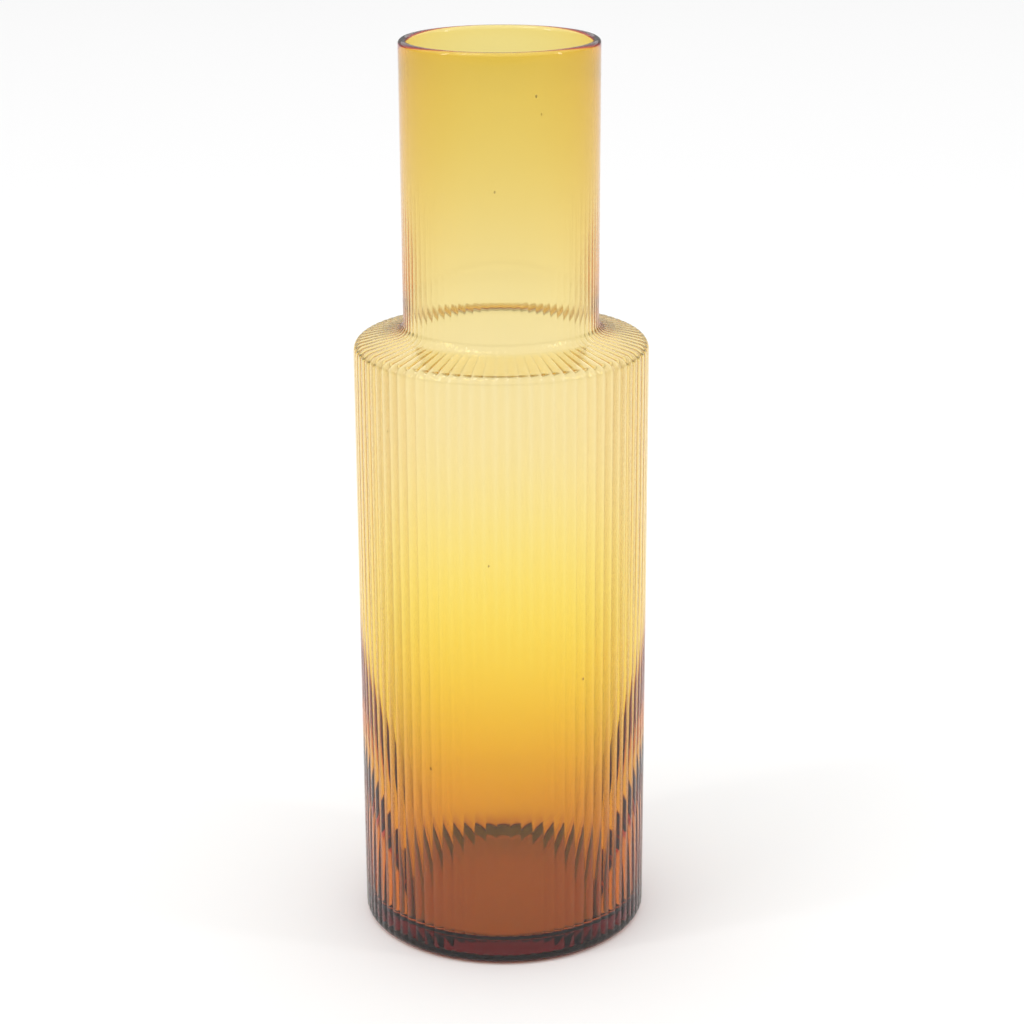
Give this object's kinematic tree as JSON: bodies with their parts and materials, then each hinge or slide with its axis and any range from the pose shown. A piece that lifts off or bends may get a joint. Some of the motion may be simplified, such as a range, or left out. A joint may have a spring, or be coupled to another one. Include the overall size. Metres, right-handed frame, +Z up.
{
  "type": "hand blown glass vase",
  "caption": "Tall straight-sided ribbed amber glass vase with a heavy solid base, a low sloping shoulder and a narrower cylindrical neck with a plain rounded lip.",
  "frame": {"origin": "centre of the bearing ring, on the surface that the vase stands on", "axes": "+Z up along the vase's axis; +X and +Y lie in the standing plane, and +X passes over the crest of a rib"},
  "size_m": [0.0994, 0.0994, 0.31],
  "materials": {
    "amber_glass": "clear amber glass, fire-polished, pale where the wall is thin and deep brown in the solid base"
  },
  "bodies": {
    "root": {"base": "amber_glass", "body_wall": "amber_glass", "shoulder": "amber_glass", "neck": "amber_glass", "lip": "amber_glass"}
  },
  "joints": []
}
